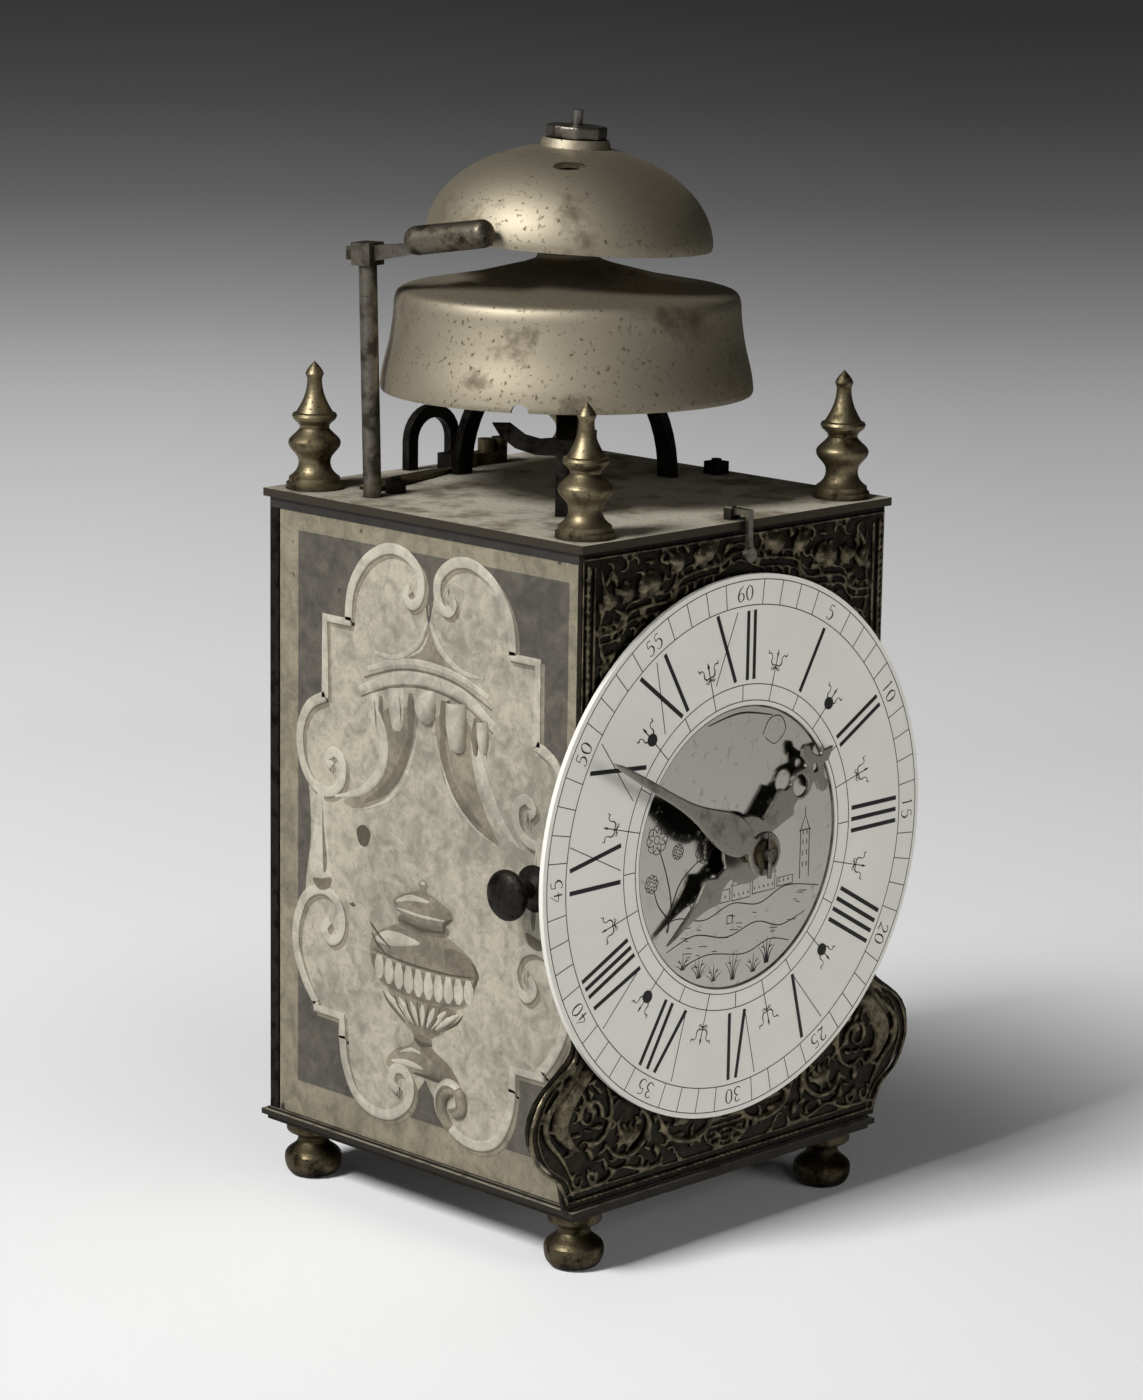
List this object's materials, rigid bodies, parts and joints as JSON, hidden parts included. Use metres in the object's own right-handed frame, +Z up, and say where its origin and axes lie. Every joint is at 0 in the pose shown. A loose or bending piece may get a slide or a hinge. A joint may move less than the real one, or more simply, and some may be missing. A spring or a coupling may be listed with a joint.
{
  "type": "lantern clock",
  "caption": "Square-cased lantern clock with a round dial, painted side doors, four turned finials and two stacked bells struck by a hammer.",
  "frame": {"origin": "on the floor under the middle of the clock's bounding box", "axes": "+Z up, -Y out of the dial, +X to the right of someone facing the dial"},
  "size_m": [0.1686, 0.1524, 0.3347],
  "materials": {
    "iron": "dark wrought iron, waxed",
    "hands_iron": "blackened iron",
    "steel": "worn steel",
    "dial_metal": "engraved and dulled",
    "brass": "aged brass",
    "bell_metal": "pale polished bell metal",
    "repousse": "dark patinated raised work",
    "dial_silver": "silvered white with black figures",
    "door_paint": "painted ornament on sheet iron"
  },
  "bodies": {
    "case": {"bottom_plate": "iron", "top_plate": "brass", "corner_posts": "iron", "foot_front_left": "brass", "foot_front_right": "brass", "foot_rear_left": "brass", "foot_rear_right": "brass", "finial_front_left": "brass", "finial_front_right": "brass", "finial_rear_left": "brass", "finial_rear_right": "brass", "front_plate": "repousse", "back_plate": "iron", "chapter_ring": "dial_silver", "dial_centre": "dial_metal", "ring_pins": "iron", "hanging_hoop": "iron", "bell_stand": "iron", "bell_post": "steel", "lower_bell": "bell_metal", "bell_spacer": "iron", "upper_bell": "bell_metal", "bell_washer": "bell_metal", "bell_nut": "iron", "hammer_spring": "brass", "stop_bar": "brass", "plate_nuts": "iron", "front_bar": "steel", "middle_bar": "steel", "rear_bar": "steel", "minute_stud": "steel"},
    "left_door": {"left_door": "door_paint", "left_knob": "iron"},
    "right_door": {"right_door": "door_paint", "right_knob": "iron"},
    "front_latch": {"front_latch": "steel"},
    "hammer": {"hammer_arbor": "iron", "hammer_arm": "iron", "hammer_head": "brass", "hammer_wedge": "iron"},
    "minute_work": {"centre_arbor": "steel", "minute_hand": "hands_iron", "hand_collet": "brass", "taper_pin": "steel"},
    "hour_work": {"hour_wheel": "brass", "hour_hand": "hands_iron"},
    "minute_wheel": {"minute_wheel": "brass"},
    "escape_wheel": {"escape_wheel": "brass"},
    "third_wheel": {"third_wheel": "brass"},
    "centre_wheel": {"centre_wheel": "brass"},
    "going_great_wheel": {"going_great_wheel": "brass"},
    "pendulum": {"anchor": "steel", "pendulum": "brass"},
    "fly": {"fly": "brass"},
    "warning_wheel": {"warning_wheel": "brass"},
    "pin_wheel": {"pin_wheel": "brass"},
    "strike_great_wheel": {"strike_great_wheel": "brass", "count_wheel": "brass"},
    "detent": {"detent_arbor": "steel"}
  },
  "joints": [
    {"name": "left_door_turn", "type": "hinge", "parent": "case", "child": "left_door", "pos_m": [-0.0645, 0.0682, 0.022], "axis": [0, 0, 1], "range_deg": [-100, 0]},
    {"name": "right_door_turn", "type": "hinge", "parent": "case", "child": "right_door", "pos_m": [0.0645, 0.0682, 0.022], "axis": [0, 0, 1], "range_deg": [0, 100]},
    {"name": "front_latch_turn", "type": "hinge", "parent": "case", "child": "front_latch", "pos_m": [0, -0.0568, 0.2212], "axis": [1, 0, 0], "range_deg": [-110, 0]},
    {"name": "hammer_swing", "type": "hinge", "parent": "case", "child": "hammer", "pos_m": [-0.0535, 0.0412, 0.219], "axis": [-0.0173, 0.0173, 0.9997], "range_deg": [-40, 0]},
    {"name": "minute_hand_turn", "type": "hinge", "parent": "case", "child": "minute_work", "pos_m": [0, 0.0072, 0.1205], "axis": [0, 1, 0], "continuous": true},
    {"name": "hour_hand_turn", "type": "hinge", "parent": "case", "child": "hour_work", "pos_m": [0, 0.0072, 0.1205], "axis": [0, 1, 0], "continuous": true},
    {"name": "minute_wheel_turn", "type": "hinge", "parent": "case", "child": "minute_wheel", "pos_m": [0.0096, 0.0072, 0.10387], "axis": [0, 1, 0], "continuous": true},
    {"name": "escape_wheel_turn", "type": "hinge", "parent": "case", "child": "escape_wheel", "pos_m": [0, 0.0072, 0.1663], "axis": [0, 1, 0], "continuous": true},
    {"name": "third_wheel_turn", "type": "hinge", "parent": "case", "child": "third_wheel", "pos_m": [0.01899, 0.0072, 0.14525], "axis": [0, 1, 0], "continuous": true},
    {"name": "centre_wheel_turn", "type": "hinge", "parent": "case", "child": "centre_wheel", "pos_m": [0, 0.0072, 0.1205], "axis": [0, 1, 0], "continuous": true},
    {"name": "going_great_wheel_turn", "type": "hinge", "parent": "case", "child": "going_great_wheel", "pos_m": [0, 0.0072, 0.0863], "axis": [0, 1, 0], "continuous": true},
    {"name": "fly_turn", "type": "hinge", "parent": "case", "child": "fly", "pos_m": [0, 0.0072, 0.15057], "axis": [0, 1, 0], "continuous": true},
    {"name": "warning_wheel_turn", "type": "hinge", "parent": "case", "child": "warning_wheel", "pos_m": [0.01599, 0.0072, 0.1389], "axis": [0, 1, 0], "continuous": true},
    {"name": "pin_wheel_turn", "type": "hinge", "parent": "case", "child": "pin_wheel", "pos_m": [0, 0.0072, 0.11915], "axis": [0, 1, 0], "continuous": true},
    {"name": "strike_great_wheel_turn", "type": "hinge", "parent": "case", "child": "strike_great_wheel", "pos_m": [0, 0.0072, 0.0783], "axis": [0, 1, 0], "continuous": true},
    {"name": "pendulum_swing", "type": "hinge", "parent": "case", "child": "pendulum", "pos_m": [0, 0.0072, 0.1863], "axis": [0, 1, 0], "range_deg": [-4, 4]},
    {"name": "detent_lift", "type": "hinge", "parent": "case", "child": "detent", "pos_m": [-0.03, 0.0072, 0.1503], "axis": [0, 1, 0], "range_deg": [0, 12]}
  ],
  "couplings": [
    {"joint": "hour_hand_turn", "follows": "minute_hand_turn", "ratio": 0.083333},
    {"joint": "minute_wheel_turn", "follows": "minute_hand_turn", "ratio": -0.33333},
    {"joint": "third_wheel_turn", "follows": "escape_wheel_turn", "ratio": -0.08},
    {"joint": "centre_wheel_turn", "follows": "escape_wheel_turn", "ratio": 0.0066667},
    {"joint": "going_great_wheel_turn", "follows": "escape_wheel_turn", "ratio": -0.00083333},
    {"joint": "fly_turn", "follows": "warning_wheel_turn", "ratio": -9},
    {"joint": "pin_wheel_turn", "follows": "warning_wheel_turn", "ratio": -0.1},
    {"joint": "strike_great_wheel_turn", "follows": "warning_wheel_turn", "ratio": 0.010256}
  ]
}
